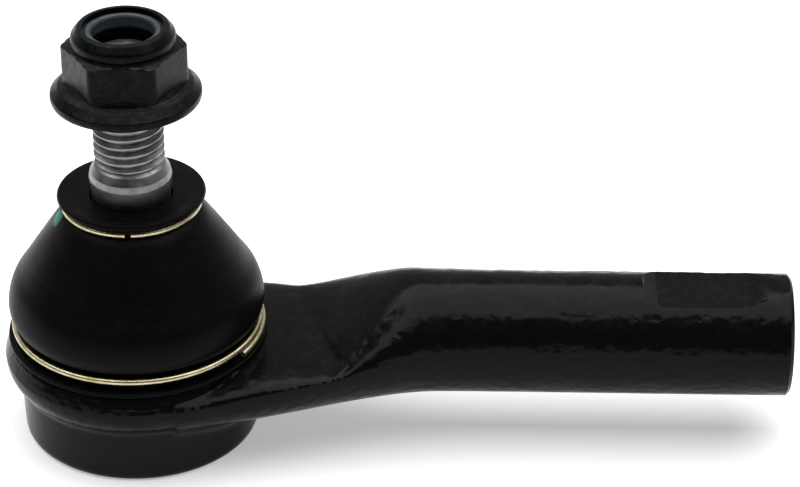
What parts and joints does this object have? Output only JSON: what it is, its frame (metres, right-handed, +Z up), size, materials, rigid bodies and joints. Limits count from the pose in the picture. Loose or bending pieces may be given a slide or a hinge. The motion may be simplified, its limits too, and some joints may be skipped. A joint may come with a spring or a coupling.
{
  "type": "tie rod end",
  "caption": "Outer tie rod end: forged socket and threaded shank, with a ball stud in a rubber boot held by wire rings and a flanged lock nut on its thread.",
  "frame": {"origin": "centre of the cover plate's flat boss, in the plane of the socket's bottom face, on the stud's axis", "axes": "+Z up the stud's axis, out of the socket; +X along the shank, from the socket to its threaded end; +Y makes the frame right-handed"},
  "size_m": [0.135, 0.046, 0.0766],
  "materials": {
    "black_forging": "glossy black dip paint over a rough forged skin",
    "plated_steel": "zinc plated sheet steel",
    "spring_steel": "oiled spring steel",
    "seat_plastic": "natural acetal, smooth",
    "yellow_wire": "yellow passivated wire, satin",
    "boot_rubber": "satin black moulded rubber",
    "bush_plastic": "black plastic",
    "bare_steel": "turned and rolled bare steel, satin",
    "black_nut": "black phosphate, satin",
    "insert_nylon": "pale blue-grey nylon"
  },
  "bodies": {
    "socket": {"housing": "black_forging", "cover_plate": "plated_steel", "preload_washer": "spring_steel", "lower_ball_seat": "seat_plastic", "upper_ball_seat": "seat_plastic", "lower_boot_ring": "yellow_wire"},
    "boot": {"dust_boot": "boot_rubber"},
    "boot_lip": {"boot_bush": "bush_plastic", "upper_boot_ring": "yellow_wire"},
    "stud": {"ball_stud": "bare_steel"},
    "nut_carrier": {"nut_insert": "insert_nylon"},
    "nut": {"lock_nut": "black_nut"}
  },
  "joints": [
    {"name": "stud_swing_x", "type": "hinge", "parent": "socket", "child": "boot", "pos_m": [0, 0, 0.0152], "axis": [1, 0, 0], "range_deg": [-20, 20], "deforming": ["dust_boot"]},
    {"name": "stud_swing_y", "type": "hinge", "parent": "boot", "child": "boot_lip", "pos_m": [0, 0, 0.0152], "axis": [0, 1, 0], "range_deg": [-20, 20]},
    {"name": "stud_spin", "type": "hinge", "parent": "boot_lip", "child": "stud", "pos_m": [0, 0, 0.0152], "axis": [0, 0, 1], "continuous": true},
    {"name": "nut_travel", "type": "slide", "parent": "stud", "child": "nut_carrier", "axis": [0, 0, 1], "range_m": [-0.00975, 0.0075], "deforming": ["nut_insert"]},
    {"name": "nut_turn", "type": "hinge", "parent": "nut_carrier", "child": "nut", "pos_m": [0, 0, 0.0634], "axis": [0, 0, 1], "range_deg": [-2342, 1802]}
  ],
  "couplings": [
    {"joint": "nut_turn", "follows": "nut_travel", "rad_per_m": 4188.8}
  ]
}
